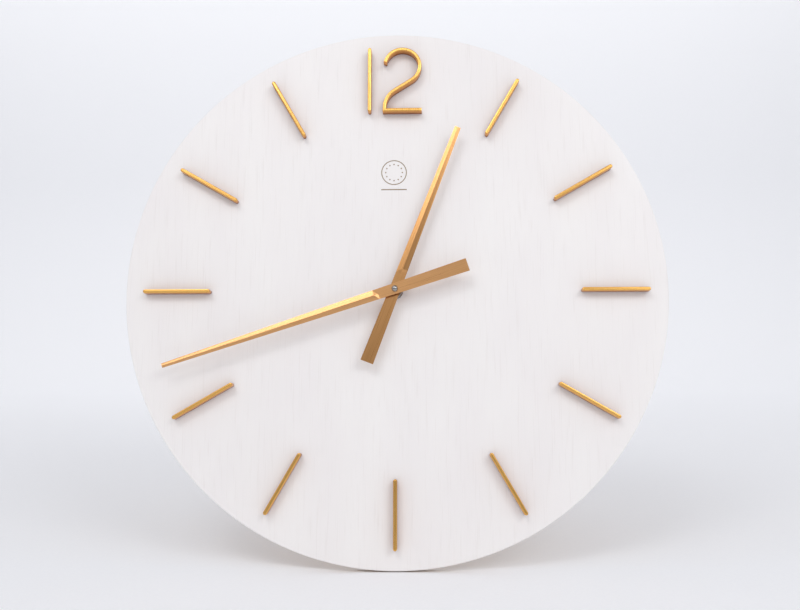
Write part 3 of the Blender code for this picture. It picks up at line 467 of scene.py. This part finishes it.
def printed_emblem():
    """A plain mark screen-printed on the dial: a thin ring, twelve dots and a short rule."""
    ink = grained("screen_printed_bronze_ink", "#8B7759", "#9A866A", 0.4, 0.5, 0.005, IOR=1.5)
    centre = Vector((-1.5 * MM, 0, HUB.z + 136 * MM))
    ring_outer, ring_inner = 14.4 * MM, 13.4 * MM
    dot_radius, dot_circle = 0.8 * MM, 9.4 * MM
    rule_low, rule_high = centre.z - 20.4 * MM, centre.z - 19.2 * MM
    back, front = DIAL_FACE - 0.005 * MM, DIAL_FACE - 0.035 * MM  # just clear of the lacquer
    work = bmesh.new()

    def solid_between(outer, inner=None):
        """A thin solid with this outline, and a hole if there is an inner one."""
        loops = []
        for outline in (outer, inner):
            if outline:
                loops.append([[work.verts.new((x, y, z)) for x, z in outline] for y in (back, front)])
        for behind, ahead in loops:
            count = len(behind)
            for k in range(count):
                work.faces.new((behind[k], behind[(k + 1) % count], ahead[(k + 1) % count], ahead[k]))
        if inner:
            for level in (0, 1):
                a, b = loops[0][level], loops[1][level]
                for k in range(len(a)):
                    n = (k + 1) % len(a)
                    work.faces.new((a[k], a[n], b[n], b[k]))
        else:
            work.faces.new(loops[0][0])
            work.faces.new(loops[0][1])

    def round_outline(radius, x=centre.x, z=centre.z, facets=72):
        angles = [2 * math.pi * k / facets for k in range(facets)]
        return [(x + radius * math.cos(a), z + radius * math.sin(a)) for a in angles]

    solid_between(round_outline(ring_outer), round_outline(ring_inner))
    for hour in range(12):
        angle = math.radians(30 * hour)
        dot_x = centre.x + dot_circle * math.sin(angle)
        dot_z = centre.z + dot_circle * math.cos(angle)
        solid_between(round_outline(dot_radius, dot_x, dot_z, 16))
    left, right = centre.x - ring_outer, centre.x + ring_outer
    solid_between([(left, rule_low), (right, rule_low), (right, rule_high), (left, rule_high)])
    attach(new_piece("printed_emblem", work, ink, smooth=False), "clock_body")


printed_emblem()


# --- floor, sweep and light --------------------------------------------------

def pale_sweep():
    """A matt paper sweep: flat under the clock, curved up far behind it."""
    lean = Matrix.Rotation(math.radians(LEAN), 4, "X")
    paper = grained("matt_paper_sweep", "#F7F8FB", "#FAFBFD", 3.0, 0.9, 0.02)
    foot = Vector((0, BOARD_BACK, FOOT - 0.2 * MM))
    in_front, behind, cove, height, half_width = -3.0, 2.0, 0.8, 2.6, 4.0
    # Two more rows, just before and behind the clock, keep the floor's shading flat there.
    profile = [(in_front, 0), (-0.6, 0), (0.2, 0), (behind, 0)]
    cove_steps = 24
    for step in range(1, cove_steps + 1):
        angle = math.radians(90 * step / cove_steps)
        profile.append((behind + cove * math.sin(angle), cove * (1 - math.cos(angle))))
    profile.append((behind + cove, height))
    work = bmesh.new()
    rows = []
    for y, z in profile:
        rows.append([work.verts.new(foot + lean @ Vector((x, y, z))) for x in (-half_width, half_width)])
    for lower, upper in zip(rows, rows[1:]):
        work.faces.new((lower[0], lower[1], upper[1], upper[0]))
    sweep = new_piece("paper_sweep", work, paper)


def softbox(name, place, aim, width, height, power, shown=True):
    """A soft rectangular light, in metres and watts. One that isn't shown still lights the set,
    but the camera doesn't see it."""
    light = bpy.data.lights.new(name, "AREA")
    light.shape = "RECTANGLE"
    light.size, light.size_y = width, height
    light.energy = power
    lamp = bpy.data.objects.new(name, light)
    lamp.location = place
    lamp.rotation_mode = "QUATERNION"
    lamp.rotation_quaternion = (Vector(aim) - Vector(place)).to_track_quat("-Z", "Y")
    lamp.visible_camera = shown
    bpy.context.scene.collection.objects.link(lamp)


def room_light():
    """Light from all round a white room: dim at the floor, brightest a little above eye
    height where the lights bounce, and softer overhead."""
    world = bpy.data.worlds.new("white_room")
    world.use_nodes = True
    tree = world.node_tree
    direction = add(tree, "TexCoord").outputs["Generated"]
    up = add(tree, "SeparateXYZ", {"Vector": direction}).outputs["Z"]
    rise = add(
        tree, "MapRange",
        {"Value": up, "From Min": -0.06, "From Max": 0.42, "To Min": 0.38, "To Max": 0.84},
        interpolation_type="SMOOTHSTEP",
    ).outputs[0]
    fall = add(
        tree, "MapRange",
        {"Value": up, "From Min": 0.45, "From Max": 1.0, "To Min": 0.0, "To Max": 0.34},
        interpolation_type="SMOOTHSTEP",
    ).outputs[0]
    level = add(tree, "Math", {0: rise, 1: fall}, operation="SUBTRACT").outputs[0]
    sky = tree.nodes["Background"]
    sky.inputs["Color"].default_value = linear("#FBFBFF")
    tree.links.new(level, sky.inputs["Strength"])
    bpy.context.scene.world = world


pale_sweep()
CLOCK_MIDDLE = (0, 0, HUB.z)
softbox("key_softbox", (-0.75, -2.1, 1.35), CLOCK_MIDDLE, 1.1, 0.8, 12)
softbox("fill_softbox", (1.3, -2.1, 0.82), CLOCK_MIDDLE, 1.2, 0.9, 12, shown=False)
softbox("sweep_light", (-0.3, 1.5, 2.1), (-0.3, 2.9, 1.0), 5.0, 1.2, 17, shown=False)
room_light()


# --- camera ------------------------------------------------------------------

def clock_camera():
    """A camera low in front of the dial, level with the floor, as the clock leans back."""
    data = bpy.data.cameras.new("camera")
    data.sensor_width = 36
    data.lens = 42.2
    camera = bpy.data.objects.new("camera", data)
    ahead = Vector((-0.0286, 0.9879, 0.1522)).normalized()
    overhead = Vector((0.0051, -0.1521, 0.9884))
    side = ahead.cross(overhead).normalized()
    top = side.cross(ahead)
    turn = Matrix((side, top, -ahead)).transposed().to_4x4()
    right_of_hub, before_dial, below_hub = 34.7 * MM, 1022 * MM, 172.6 * MM
    spot = Vector((HUB.x + right_of_hub, DIAL_FACE - before_dial, HUB.z - below_hub))
    camera.matrix_world = Matrix.Translation(spot) @ turn
    bpy.context.scene.collection.objects.link(camera)
    bpy.context.scene.camera = camera


clock_camera()
bpy.context.scene.view_settings.view_transform = "Standard"
